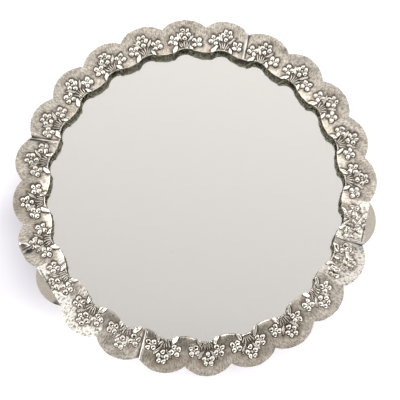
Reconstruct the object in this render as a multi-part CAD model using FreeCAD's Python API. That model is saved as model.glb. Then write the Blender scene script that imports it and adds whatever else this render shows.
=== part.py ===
import FreeCAD, Part
import math
import os

# Round silver toilet mirror with a scalloped border, made to be lifted by a hinged bail on its back.
# Millimetres. +Z is the way the glass faces and +Y is the top when the mirror hangs. The origin is
# the middle of the plane that the foot ring stands on, so the mirror lies face up on z = 0.

# Outline: every lobe of the border is one arc, and a lobe tip lies on +X
LOBES = 24
STRIPS = 4
PITCH = 360.0 / LOBES
STRIP_DEG = 360.0 / STRIPS
FIRST_SEAM_DEG = -1.5 * PITCH
TIP_RADIUS = 120.0
VALLEY_RADIUS = 114.3
LIP_LOBE_RADIUS = 98.7
LIP_VALLEY_RADIUS = 95.5

# Sheet and stack, from the table up
PLATE_SHEET = 0.6
STRIP_SHEET = 0.5
FIELD_HEIGHT = 5.2
BOARD = 3.5
FELT = 0.8
PAPER = 0.3
SILVERING = 0.1
GLASS = 3.0
RIM_ABOVE_GLASS = 2.4

BOARD_Z = FIELD_HEIGHT + PLATE_SHEET
FELT_Z = BOARD_Z + BOARD
PAPER_Z = FELT_Z + FELT
SILVERING_Z = PAPER_Z + PAPER
GLASS_Z = SILVERING_Z + SILVERING
GLASS_TOP = GLASS_Z + GLASS
RIM_TOP = GLASS_TOP + RIM_ABOVE_GLASS

# Back plate: flat field, round corner, upright wall and flange
WALL_RADIUS = 107.9
WALL_CORNER = 8.5

# Border strip: flat outside this circle, and curled up inside it
CURL_START_RADIUS = 106.0
CURL_RADIUS = 22.5
CURL_END_DEG = 31.0
STRAP_SHEET = 0.4
STRAP_DEG = 3.2
STRAP_OUTER_DEG = 1.0
STRAP_INNER_DEG = 22.0

# Glass and packing
GLASS_RADIUS = 106.0
PAPER_RADIUS = 105.0
FELT_RADIUS = 104.0
BOARD_RADIUS = 98.5

# Clips over the glass edge and cork wedges beside it, in turn round the wall
HOLDERS = 8
CLIP_WIDTH = 6.0
CLIP_SHEET = 0.6
CLIP_REACH = 4.3
CLIP_HEIGHT = 2.0
CLIP_SOLDER = 0.02
WEDGE_DEG = 8.0
WEDGE_INNER = 106.05
WEDGE_OUTER = 106.8
WEDGE_Z = 11.2
WEDGE_HEIGHT = 2.2

# Rings and rosette on the back
FOOT_INNER = 74.0
FOOT_WIDTH = 3.0
FOOT_FLAT = 1.6
BEAD_RING_RADIUS = 97.3
BEAD_HEIGHT = 1.1
ROSETTE_RING_RADIUS = 19.3
ROSETTE_RING_HEIGHT = 0.9
ROSETTE_RADIUS = 16.0
ROSETTE_RELIEF = 1.0
ROSETTE_BACKING = 0.3
PETALS = 10
PETAL_PITCH_RADIUS = 11.4
PETAL_BALL = 9.0
BOSS_BALL = 20.0

# Bail and its hinge, whose axis runs along X
HINGE_Y = 22.0
HINGE_Z = 2.5
BAIL_REACH = 46.0
BAIL_LEG_X = 30.4
BAIL_WIRE = 1.6
BAIL_CORNER = 12.0
GRIP_WIRE = 2.3
PIN_RADIUS = 1.25
PIN_END_X = 36.9
SHOULDER_RADIUS = 1.9
SHOULDER_X = 32.7
END_BALL_RADIUS = 1.6
BALL_SEAT = 0.02
PIN_CLEARANCE = 0.06

LUG_X = 34.0
LUG_THICKNESS = 2.0
LUG_EYE_RADIUS = 2.3
LUG_NECK = 3.4
LUG_PAD = 0.7
LUG_PAD_WIDTH = 5.0
LUG_PAD_LENGTH = 13.0
RIVET_SPACING = 8.4
RIVET_RADIUS = 0.9
RIVET_HEAD_RADIUS = 1.5
RIVET_HEAD_HEIGHT = 0.6
RIVET_PEEN_RADIUS = 1.3
RIVET_PEEN_HEIGHT = 0.4
BURR_RADIUS = 2.0
BURR_SHEET = 0.5
BURR_POCKET_RADIUS = 2.3
BURR_POCKET_DEPTH = 1.2

OVERSIZE = 4.0
AXIS_Z = FreeCAD.Vector(0, 0, 1)
AXIS_X = FreeCAD.Vector(1, 0, 0)
ORIGIN = FreeCAD.Vector(0, 0, 0)


def vec(x, y, z):
    """A point or direction."""
    return FreeCAD.Vector(x, y, z)


def polar(radius, degrees, z=0.0):
    """The point at a radius and angle round the mirror's axis."""
    angle = math.radians(degrees)
    return vec(radius * math.cos(angle), radius * math.sin(angle), z)


def turned(shape, degrees, axis=AXIS_Z, centre=ORIGIN):
    """A copy of a shape, turned about an axis."""
    copy = shape.copy()
    copy.rotate(centre, axis, degrees)
    return copy


def disc(radius, z, height):
    """A flat round piece on the mirror's axis."""
    return Part.makeCylinder(radius, height, vec(0, 0, z))


def box(low, high):
    """A block between two corners."""
    size = [b - a for a, b in zip(low, high)]
    return Part.makeBox(*size, vec(*low))


def revolved(edges, degrees=360.0):
    """A closed outline in the XZ plane, turned round the mirror's axis."""
    face = Part.Face(Part.Wire(Part.__sortEdges__(edges)))
    return face.revolve(ORIGIN, AXIS_Z, degrees)


def line(start, end):
    """A straight edge in the XZ plane, between (radius, height) pairs."""
    return Part.LineSegment(vec(start[0], 0, start[1]), vec(end[0], 0, end[1])).toShape()


def arc(start, middle, end):
    """A round edge in the XZ plane through three (radius, height) pairs."""
    return Part.Arc(*[vec(r, 0, z) for r, z in (start, middle, end)]).toShape()


def closed_outline(corners):
    """Straight edges in the XZ plane round a list of (radius, height) pairs."""
    following = corners[1:] + corners[:1]
    return [line(start, end) for start, end in zip(corners, following)]


def on_arc(centre, radius, degrees):
    """The (radius, height) pair on an arc, with 0 degrees straight down and 90 outwards."""
    angle = math.radians(degrees)
    return (centre[0] + radius * math.sin(angle), centre[1] - radius * math.cos(angle))


def scalloped_prism(z, height):
    """A prism with the border's outline: one arc a lobe, valley to valley."""
    half = PITCH / 2
    edges = []
    for lobe in range(LOBES):
        middle = lobe * PITCH
        points = [
            polar(VALLEY_RADIUS, middle - half, z),
            polar(TIP_RADIUS, middle, z),
            polar(VALLEY_RADIUS, middle + half, z),
        ]
        edges.append(Part.Arc(*points).toShape())
    return Part.Face(Part.Wire(edges)).extrude(vec(0, 0, height))


def waved_prism(z, height):
    """A prism with the outline of the border's inner lip, which bulges inwards at each valley."""
    quarter = PITCH / 4
    mean = (LIP_LOBE_RADIUS + LIP_VALLEY_RADIUS) / 2
    edges = []
    for half_lobe in range(2 * LOBES):
        middle = half_lobe * PITCH / 2
        peak = LIP_VALLEY_RADIUS if half_lobe % 2 else LIP_LOBE_RADIUS
        points = [
            polar(mean, middle - quarter, z),
            polar(peak, middle, z),
            polar(mean, middle + quarter, z),
        ]
        edges.append(Part.Arc(*points).toShape())
    return Part.Face(Part.Wire(edges)).extrude(vec(0, 0, height))


def back_plate():
    """Raised silver dish: field, round corner, wall and scalloped flange."""
    centre = (WALL_RADIUS - WALL_CORNER, FIELD_HEIGHT + WALL_CORNER)
    inner = WALL_CORNER - PLATE_SHEET
    flange_under = RIM_TOP - PLATE_SHEET
    far = TIP_RADIUS + OVERSIZE
    outside = [on_arc(centre, WALL_CORNER, d) for d in (0, 45, 90)]
    inside = [on_arc(centre, inner, d) for d in (0, 45, 90)]
    edges = [
        line((0, FIELD_HEIGHT), outside[0]),
        arc(*outside),
        line(outside[2], (WALL_RADIUS, flange_under)),
        line((WALL_RADIUS, flange_under), (far, flange_under)),
        line((far, flange_under), (far, RIM_TOP)),
        line((far, RIM_TOP), (inside[2][0], RIM_TOP)),
        line((inside[2][0], RIM_TOP), inside[2]),
        arc(*inside),
        line(inside[0], (0, BOARD_Z)),
        line((0, BOARD_Z), (0, FIELD_HEIGHT)),
    ]
    plate = revolved(edges).common(scalloped_prism(0, RIM_TOP + OVERSIZE))
    for place in rivet_places():
        plate = plate.cut(Part.makeCylinder(RIVET_RADIUS, RIM_TOP, place))
    return plate


def curled_arcs(sheet_low, sheet_high, outer_deg, inner_deg):
    """Lower and upper arcs of a curled sheet, at distances below the strips' underside."""
    centre = (CURL_START_RADIUS, RIM_TOP + CURL_RADIUS)
    degrees = (-outer_deg, -(outer_deg + inner_deg) / 2, -inner_deg)
    lower = [on_arc(centre, CURL_RADIUS + sheet_low, d) for d in degrees]
    upper = [on_arc(centre, CURL_RADIUS + sheet_high, d) for d in degrees]
    return lower, upper


def border_strips():
    """The four pressed strips of six lobes, which meet in valleys."""
    lower, upper = curled_arcs(0, -STRIP_SHEET, 0, CURL_END_DEG)
    low_corner = (TIP_RADIUS + OVERSIZE, RIM_TOP)
    high_corner = (TIP_RADIUS + OVERSIZE, RIM_TOP + STRIP_SHEET)
    edges = [
        arc(*lower),
        line(lower[2], upper[2]),
        arc(*upper),
        line(upper[0], high_corner),
        line(high_corner, low_corner),
        line(low_corner, lower[0]),
    ]
    first = turned(revolved(edges, STRIP_DEG), FIRST_SEAM_DEG)
    first = first.common(scalloped_prism(0, 2 * RIM_TOP)).cut(waved_prism(0, 2 * RIM_TOP))
    return [turned(first, STRIP_DEG * number) for number in range(STRIPS)]


def seam_straps():
    """Short straps under the joints of the strips, inside the flange."""
    lower, upper = curled_arcs(STRAP_SHEET, 0, STRAP_OUTER_DEG, STRAP_INNER_DEG)
    edges = [arc(*lower), line(lower[2], upper[2]), arc(*upper), line(lower[0], upper[0])]
    first = turned(revolved(edges, STRAP_DEG), FIRST_SEAM_DEG - STRAP_DEG / 2)
    return Part.makeCompound([turned(first, STRIP_DEG * number) for number in range(STRIPS)])


def backing_board():
    """Wooden board in the dish, pocketed over the rivet burrs."""
    board = disc(BOARD_RADIUS, BOARD_Z, BOARD)
    for place in rivet_places():
        pocket = Part.makeCylinder(BURR_POCKET_RADIUS, BURR_POCKET_DEPTH, vec(place.x, place.y, BOARD_Z))
        board = board.cut(pocket)
    return board


def glass_clips():
    """Bent tabs on the wall, each with a finger on the glass."""
    wall = WALL_RADIUS - PLATE_SHEET
    half = CLIP_WIDTH / 2
    finger = box((wall - CLIP_REACH, -half, GLASS_TOP), (wall, half, GLASS_TOP + CLIP_SHEET))
    leg = box((wall - CLIP_SHEET, -half, GLASS_TOP), (wall + 1, half, GLASS_TOP + CLIP_HEIGHT))
    clip = finger.fuse(leg).common(disc(wall - CLIP_SOLDER, 0, 2 * RIM_TOP)).removeSplitter()
    step = 360.0 / HOLDERS
    return Part.makeCompound([turned(clip, step * number) for number in range(HOLDERS)])


def edge_wedges():
    """Cork strips that centre the glass in the wall."""
    corners = [
        (WEDGE_INNER, WEDGE_Z),
        (WEDGE_OUTER, WEDGE_Z),
        (WEDGE_OUTER, WEDGE_Z + WEDGE_HEIGHT),
        (WEDGE_INNER, WEDGE_Z + WEDGE_HEIGHT),
    ]
    wedge = revolved(closed_outline(corners), WEDGE_DEG)
    step = 360.0 / HOLDERS
    first = step / 2 - WEDGE_DEG / 2
    return Part.makeCompound([turned(wedge, first + step * number) for number in range(HOLDERS)])


def foot_ring():
    """Ring that the mirror stands on, with bulged sides and a flat foot."""
    middle = FOOT_INNER + FOOT_WIDTH / 2
    flat = FOOT_FLAT / 2
    half = FOOT_WIDTH / 2
    knee = FIELD_HEIGHT * 0.45
    edges = [
        line((middle - flat, 0), (middle + flat, 0)),
        arc((middle + flat, 0), (middle + half, knee), (middle + flat, FIELD_HEIGHT)),
        line((middle + flat, FIELD_HEIGHT), (middle - flat, FIELD_HEIGHT)),
        arc((middle - flat, FIELD_HEIGHT), (middle - half, knee), (middle - flat, 0)),
    ]
    return revolved(edges)


def wire_ring(radius, height):
    """Ring of five-sided wire soldered to the field's underside."""
    shoulder = 0.75 * height
    corners = [
        (radius - height, FIELD_HEIGHT),
        (radius - shoulder, FIELD_HEIGHT - shoulder),
        (radius, FIELD_HEIGHT - height),
        (radius + shoulder, FIELD_HEIGHT - shoulder),
        (radius + height, FIELD_HEIGHT),
    ]
    return revolved(closed_outline(corners))


def dome(ball, x, y):
    """Cap of a ball, standing ROSETTE_RELIEF out of the field's underside."""
    depth = FIELD_HEIGHT - ROSETTE_RELIEF
    cap = Part.makeSphere(ball, vec(x, y, depth + ball))
    return cap.common(disc(ROSETTE_RADIUS, depth, ROSETTE_RELIEF))


def back_rosette():
    """Pressed flower at the middle of the back: petals round a boss, on a thin disc."""
    flower = disc(ROSETTE_RADIUS, FIELD_HEIGHT - ROSETTE_BACKING, ROSETTE_BACKING)
    flower = flower.fuse(dome(BOSS_BALL, 0, 0))
    for petal in range(PETALS):
        place = polar(PETAL_PITCH_RADIUS, petal * 360.0 / PETALS)
        flower = flower.fuse(dome(PETAL_BALL, place.x, place.y))
    return flower.removeSplitter()


def rivet_places():
    """Axis points of the four lug rivets, on the table plane."""
    half = RIVET_SPACING / 2
    return [vec(side * LUG_X, HINGE_Y + along, 0) for side in (-1, 1) for along in (-half, half)]


def bail_lug(side):
    """Lug on one side: an eye round the bail's pin, a neck and a riveted pad."""
    x = side * LUG_X - LUG_THICKNESS / 2
    pad_z = FIELD_HEIGHT - LUG_PAD
    eye = Part.makeCylinder(LUG_EYE_RADIUS, LUG_THICKNESS, vec(x, HINGE_Y, HINGE_Z), AXIS_X)
    half_neck = LUG_NECK / 2
    neck = box((x, HINGE_Y - half_neck, HINGE_Z), (x + LUG_THICKNESS, HINGE_Y + half_neck, pad_z))
    straight = LUG_PAD_LENGTH - LUG_PAD_WIDTH
    half_pad = LUG_PAD_WIDTH / 2
    middle = side * LUG_X
    low = (middle - half_pad, HINGE_Y - straight / 2, pad_z)
    high = (middle + half_pad, HINGE_Y + straight / 2, FIELD_HEIGHT)
    pad = box(low, high)
    for end in (low[1], high[1]):
        pad = pad.fuse(Part.makeCylinder(half_pad, LUG_PAD, vec(middle, end, pad_z)))
    lug = eye.fuse(neck).fuse(pad).removeSplitter()
    bore_start = vec(x - LUG_THICKNESS, HINGE_Y, HINGE_Z)
    bore = Part.makeCylinder(PIN_RADIUS + PIN_CLEARANCE, 3 * LUG_THICKNESS, bore_start, AXIS_X)
    lug = lug.cut(bore)
    for place in rivet_places():
        lug = lug.cut(Part.makeCylinder(RIVET_RADIUS, RIM_TOP, place))
    return lug


def lug_rivets():
    """Rivets with a domed head under the pad, peened over the burr inside."""
    pad_z = FIELD_HEIGHT - LUG_PAD
    head_r = RIVET_HEAD_RADIUS
    head_h = RIVET_HEAD_HEIGHT
    ball = (head_r ** 2 + head_h ** 2) / (2 * head_h)
    peen_z = BOARD_Z + BURR_SHEET
    rivets = []
    for place in rivet_places():
        x, y = place.x, place.y
        head = Part.makeSphere(ball, vec(x, y, pad_z - head_h + ball))
        head = head.common(Part.makeCylinder(2 * head_r, head_h, vec(x, y, pad_z - head_h)))
        shank = Part.makeCylinder(RIVET_RADIUS, peen_z - pad_z, vec(x, y, pad_z))
        peen = Part.makeCone(RIVET_PEEN_RADIUS, RIVET_RADIUS, RIVET_PEEN_HEIGHT, vec(x, y, peen_z))
        rivets.append(head.fuse(shank).fuse(peen).removeSplitter())
    return Part.makeCompound(rivets)


def rivet_burrs():
    """Washers between the back plate and the peened rivet ends."""
    burrs = []
    for place in rivet_places():
        at = vec(place.x, place.y, BOARD_Z)
        washer = Part.makeCylinder(BURR_RADIUS, BURR_SHEET, at)
        burrs.append(washer.cut(Part.makeCylinder(RIVET_RADIUS, BURR_SHEET, at)))
    return Part.makeCompound(burrs)


def bail_side(side):
    """One leg of the bail, with its pin, shoulder and corner."""
    leg_x = side * BAIL_LEG_X
    outwards = vec(side, 0, 0)
    hinge = vec(leg_x, HINGE_Y, HINGE_Z)
    straight = BAIL_REACH - BAIL_CORNER
    corner_end = vec(leg_x, HINGE_Y - straight, HINGE_Z)
    leg = Part.makeCylinder(BAIL_WIRE, straight, hinge, vec(0, -1, 0))
    knuckle = Part.makeSphere(BAIL_WIRE, hinge)
    shoulder = Part.makeCylinder(SHOULDER_RADIUS, SHOULDER_X - BAIL_LEG_X, hinge, outwards)
    pin = Part.makeCylinder(PIN_RADIUS, PIN_END_X - BAIL_LEG_X, hinge, outwards)
    section = Part.Face(Part.Wire(Part.makeCircle(BAIL_WIRE, corner_end, vec(0, 1, 0))))
    centre = vec(leg_x - side * BAIL_CORNER, corner_end.y, HINGE_Z)
    corner = section.revolve(centre, AXIS_Z, -side * 90)
    return leg.fuse([knuckle, shoulder, pin, corner])


def bail_handle():
    """D-shaped bail, folded flat below the field, with a grip that swells in the middle."""
    grip_y = HINGE_Y - BAIL_REACH
    half = BAIL_LEG_X - BAIL_CORNER
    ends = [vec(-half, grip_y, HINGE_Z), vec(half, grip_y, HINGE_Z)]
    swell = ((-half, BAIL_WIRE), (0, GRIP_WIRE), (half, BAIL_WIRE))
    outline = [vec(x, grip_y + radius, HINGE_Z) for x, radius in swell]
    edges = [
        Part.Arc(*outline).toShape(),
        Part.LineSegment(outline[2], ends[1]).toShape(),
        Part.LineSegment(ends[1], ends[0]).toShape(),
        Part.LineSegment(ends[0], outline[0]).toShape(),
    ]
    grip = Part.Face(Part.Wire(edges)).revolve(ends[0], AXIS_X, 360)
    return grip.fuse([bail_side(-1), bail_side(1)]).removeSplitter()


def bail_end_balls():
    """Balls closed on the ends of the pins, outside the lugs."""
    seat = PIN_RADIUS + BALL_SEAT
    mouth = math.sqrt(END_BALL_RADIUS ** 2 - seat ** 2)
    balls = []
    for side in (-1, 1):
        centre_x = side * PIN_END_X
        bottom_x = centre_x + side * BALL_SEAT
        far_x = centre_x + side * END_BALL_RADIUS
        points = [
            vec(centre_x - side * mouth, HINGE_Y + seat, HINGE_Z),
            vec(bottom_x, HINGE_Y + seat, HINGE_Z),
            vec(bottom_x, HINGE_Y, HINGE_Z),
            vec(far_x, HINGE_Y, HINGE_Z),
        ]
        top = vec(centre_x, HINGE_Y + END_BALL_RADIUS, HINGE_Z)
        edges = [Part.LineSegment(points[i], points[i + 1]).toShape() for i in range(3)]
        edges.append(Part.Arc(points[3], top, points[0]).toShape())
        balls.append(Part.Face(Part.Wire(edges)).revolve(points[2], AXIS_X, 360))
    return Part.makeCompound(balls)


def main():
    """Builds every piece and writes one STEP file for each."""
    strips = border_strips()
    parts = {
        "back_plate": back_plate(),
        "border_strip_right": strips[0],
        "border_strip_top": strips[1],
        "border_strip_left": strips[2],
        "border_strip_bottom": strips[3],
        "seam_straps": seam_straps(),
        "backing_board": backing_board(),
        "packing_felt": disc(FELT_RADIUS, FELT_Z, FELT),
        "backing_paper": disc(PAPER_RADIUS, PAPER_Z, PAPER),
        "silvering": disc(PAPER_RADIUS, SILVERING_Z, SILVERING),
        "glass_pane": disc(GLASS_RADIUS, GLASS_Z, GLASS),
        "glass_clips": glass_clips(),
        "edge_wedges": edge_wedges(),
        "foot_ring": foot_ring(),
        "outer_bead_ring": wire_ring(BEAD_RING_RADIUS, BEAD_HEIGHT),
        "rosette_ring": wire_ring(ROSETTE_RING_RADIUS, ROSETTE_RING_HEIGHT),
        "back_rosette": back_rosette(),
        "bail_lug_left": bail_lug(-1),
        "bail_lug_right": bail_lug(1),
        "lug_rivets": lug_rivets(),
        "rivet_burrs": rivet_burrs(),
        "bail_handle": bail_handle(),
        "bail_end_balls": bail_end_balls(),
    }
    os.makedirs("parts", exist_ok=True)
    for name, shape in parts.items():
        shape.exportStep(os.path.join("parts", name + ".step"))
        print(name, "solids", len(shape.Solids), "valid", shape.isValid(), "mm3", round(shape.Volume, 1))


main()
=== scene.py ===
"""Looks of a round silver mirror with a stamped, scalloped border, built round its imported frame."""
import logging
import math
from dataclasses import dataclass, field
from enum import Enum
from typing import Callable, Optional

import bpy
import numpy as np
from mathutils import Matrix, Vector


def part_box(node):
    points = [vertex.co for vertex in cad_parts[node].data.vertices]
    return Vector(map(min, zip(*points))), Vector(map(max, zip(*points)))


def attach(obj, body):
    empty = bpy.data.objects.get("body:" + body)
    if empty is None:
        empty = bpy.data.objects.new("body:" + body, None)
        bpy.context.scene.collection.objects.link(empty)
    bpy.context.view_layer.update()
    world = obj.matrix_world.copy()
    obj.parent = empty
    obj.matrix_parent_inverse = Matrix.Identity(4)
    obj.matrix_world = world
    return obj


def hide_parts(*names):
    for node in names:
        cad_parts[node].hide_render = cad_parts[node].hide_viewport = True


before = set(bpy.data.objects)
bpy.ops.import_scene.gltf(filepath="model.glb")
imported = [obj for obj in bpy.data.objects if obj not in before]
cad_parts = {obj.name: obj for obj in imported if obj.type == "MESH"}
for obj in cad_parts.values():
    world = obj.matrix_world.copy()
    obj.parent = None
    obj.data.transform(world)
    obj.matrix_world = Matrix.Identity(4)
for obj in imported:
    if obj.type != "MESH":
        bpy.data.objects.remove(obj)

LOG = logging.getLogger("mirror")
MM = 0.001
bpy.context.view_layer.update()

MEAN_RADIUS = 108

Array = np.ndarray
Surface = Callable[[Array, Array], Array]


# ---------------------------------------------------------------- small helpers


def linear(code: str) -> tuple[float, float, float, float]:
    """Turns an sRGB hex colour into linear RGBA.

    Args:
        code: a colour such as "#c8c0b0".

    Returns:
        The linear red, green and blue, with an alpha of 1.
    """
    channels = [int(code[i : i + 2], 16) / 255 for i in (1, 3, 5)]
    bent = [c / 12.92 if c <= 0.04045 else ((c + 0.055) / 1.055) ** 2.4 for c in channels]
    return (bent[0], bent[1], bent[2], 1.0)


def add_node(
    tree: bpy.types.NodeTree, kind: str, inputs: Optional[dict] = None, **settings: object
) -> bpy.types.Node:
    """Adds a node with its settings and links.

    Args:
        tree: the tree that gets the node.
        kind: the node's Blender type.
        inputs: socket name or number to a value, or to the output socket that feeds it.
        settings: attributes of the node itself.

    Returns:
        The new node.
    """
    made = tree.nodes.new(kind)
    for name, value in settings.items():
        setattr(made, name, value)
    for socket, value in (inputs or {}).items():
        if isinstance(value, bpy.types.NodeSocket):
            tree.links.new(value, made.inputs[socket])
        else:
            made.inputs[socket].default_value = value
    return made


def new_finish(name: str) -> tuple[bpy.types.Material, bpy.types.NodeTree, bpy.types.Node]:
    """Starts a material, and gives it with its node tree and its surface shader."""
    material = bpy.data.materials.new(name)
    material.use_nodes = True
    tree = material.node_tree
    return material, tree, tree.nodes["Principled BSDF"]


def ranged(
    tree: bpy.types.NodeTree,
    value: bpy.types.NodeSocket,
    low: float,
    high: float,
    start: float = 0.0,
    end: float = 1.0,
    **settings: object,
) -> bpy.types.NodeSocket:
    """Runs from start to end while the value goes from low to high."""
    sockets = {"Value": value, "From Min": low, "From Max": high, "To Min": start, "To Max": end}
    return add_node(tree, "ShaderNodeMapRange", sockets, **settings).outputs["Result"]


def mixed(tree: bpy.types.NodeTree, share: object, first: object, second: object) -> bpy.types.NodeSocket:
    """Mixes two colours, each a value or a socket."""
    return add_node(tree, "ShaderNodeMix", {0: share, 6: first, 7: second}, data_type="RGBA").outputs[2]


def combined(tree: bpy.types.NodeTree, operation: str, *numbers: object) -> bpy.types.NodeSocket:
    """Joins numbers, each a value or a socket, by one arithmetic operation."""
    return add_node(tree, "ShaderNodeMath", dict(enumerate(numbers)), operation=operation).outputs["Value"]


def compared(tree: bpy.types.NodeTree, operation: str, first: object, second: object) -> bpy.types.NodeSocket:
    """Gives the distance between two places, or the dot product of two directions."""
    sockets = {0: first, 1: second}
    return add_node(tree, "ShaderNodeVectorMath", sockets, operation=operation).outputs["Value"]


def deselect() -> None:
    """Leaves object mode with nothing selected."""
    if bpy.context.object and bpy.context.object.mode != "OBJECT":
        bpy.ops.object.mode_set(mode="OBJECT")
    bpy.ops.object.select_all(action="DESELECT")


def choose(*objects: bpy.types.Object) -> None:
    """Selects these objects, and makes the last one active."""
    deselect()
    for obj in objects:
        obj.select_set(True)
    bpy.context.view_layer.objects.active = objects[-1]


def smoothstep(low: float, high: float, x: Array) -> Array:
    """Rises smoothly from 0 at low to 1 at high."""
    t = np.clip((x - low) / (high - low), 0, 1)
    return t * t * (3 - 2 * t)


def ripple(x: Array, y: Array, wavelength: float, seed: int, waves: int = 7) -> Array:
    """Gentle unevenness such as hand work leaves, from a few crossed waves.

    Args:
        x: places in one direction.
        y: places in the other.
        wavelength: the usual distance between crests, in the same unit.
        seed: picks the directions and phases.
        waves: how many waves are laid over each other.

    Returns:
        Heights of about -1 to 1.
    """
    rng = np.random.default_rng(seed)
    total = np.zeros_like(x)
    for _ in range(waves):
        angle, phase = rng.uniform(0, 2 * math.pi, 2)
        length = wavelength * rng.uniform(0.7, 1.5)
        along = x * math.cos(angle) + y * math.sin(angle)
        total += np.sin(2 * math.pi * along / length + phase)
    return total / math.sqrt(waves)


def laid_grid(name: str, columns: int, rows: int, surface: Surface) -> bpy.types.Object:
    """Adds a grid and lays it over a surface.

    Args:
        name: the piece's name.
        columns: divisions across.
        rows: divisions along.
        surface: gives points in millimetres from two arrays that run from 0 to 1.

    Returns:
        The new object, with its place in its mesh.
    """
    deselect()
    bpy.ops.mesh.primitive_grid_add(x_subdivisions=columns, y_subdivisions=rows, size=1)
    obj = bpy.context.object
    obj.name = name
    obj.data.name = name
    flat = np.empty(len(obj.data.vertices) * 3)
    obj.data.vertices.foreach_get("co", flat)
    across = np.round((flat[0::3] + 0.5) * columns) / columns
    along = np.round((flat[1::3] + 0.5) * rows) / rows
    obj.data.vertices.foreach_set("co", (surface(across, along) * MM).ravel())
    obj.data.update()
    return obj


def paint(obj: bpy.types.Object, name: str, values: Array) -> None:
    """Stores one number for each point of a piece, for its finish to read."""
    layer = obj.data.attributes.new(name, "FLOAT", "POINT")
    layer.data.foreach_set("value", values.astype(np.float32))


def lay_pattern(obj: bpy.types.Object, across: Array, along: Array) -> None:
    """Gives a piece a UV map in millimetres, from two numbers for each point."""
    layer = obj.data.uv_layers.active
    corners = np.empty(len(obj.data.loops), np.int32)
    obj.data.loops.foreach_get("vertex_index", corners)
    uv = np.stack([across[corners], along[corners]], axis=1)
    layer.data.foreach_set("uv", uv.astype(np.float32).ravel())


def edit_all(*steps: Callable[[], object]) -> None:
    """Runs edit-mode steps on the whole active mesh."""
    bpy.ops.object.mode_set(mode="EDIT")
    bpy.ops.mesh.select_mode(type="VERT")
    bpy.ops.mesh.select_all(action="SELECT")
    for step in steps:
        step()
    bpy.ops.object.mode_set(mode="OBJECT")


def close_seams(obj: bpy.types.Object, distance_mm: float = 0.002) -> None:
    """Merges the points where a grid meets itself, and turns its faces outwards."""
    choose(obj)
    edit_all(
        lambda: bpy.ops.mesh.remove_doubles(threshold=distance_mm * MM),
        lambda: bpy.ops.mesh.normals_make_consistent(inside=False),
    )


def thicken_down(obj: bpy.types.Object, sheet_mm: float) -> None:
    """Makes a closed sheet of an open surface by drawing it out along Z."""
    choose(obj)
    drop = {"value": (0, 0, -sheet_mm * MM)}
    edit_all(
        lambda: bpy.ops.mesh.extrude_region_move(TRANSFORM_OT_translate=drop),
        lambda: bpy.ops.mesh.select_all(action="SELECT"),
        lambda: bpy.ops.mesh.normals_make_consistent(inside=False),
    )


def smooth(obj: bpy.types.Object, degrees: float = 40) -> None:
    """Shades a piece smooth, with sharp edges past an angle."""
    choose(obj)
    bpy.ops.object.shade_smooth_by_angle(angle=math.radians(degrees), keep_sharp_edges=False)


def dress(obj: bpy.types.Object, finish: bpy.types.Material) -> None:
    """Puts one finish on a whole piece, in each slot it has."""
    if not obj.material_slots:
        obj.data.materials.append(finish)
    for place in obj.material_slots:
        place.material = finish


def settle(obj: bpy.types.Object, body: str, slot: str, *stands_for: str) -> bpy.types.Object:
    """Ties a finished piece to its body and hides the nodes it stands for."""
    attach(obj, body)
    if stands_for:
        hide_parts(*stands_for)
    LOG.info("%s: %d faces, on %s", obj.name, len(obj.data.polygons), body)
    return obj


# ---------------------------------------------------------------- finishes


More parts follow.
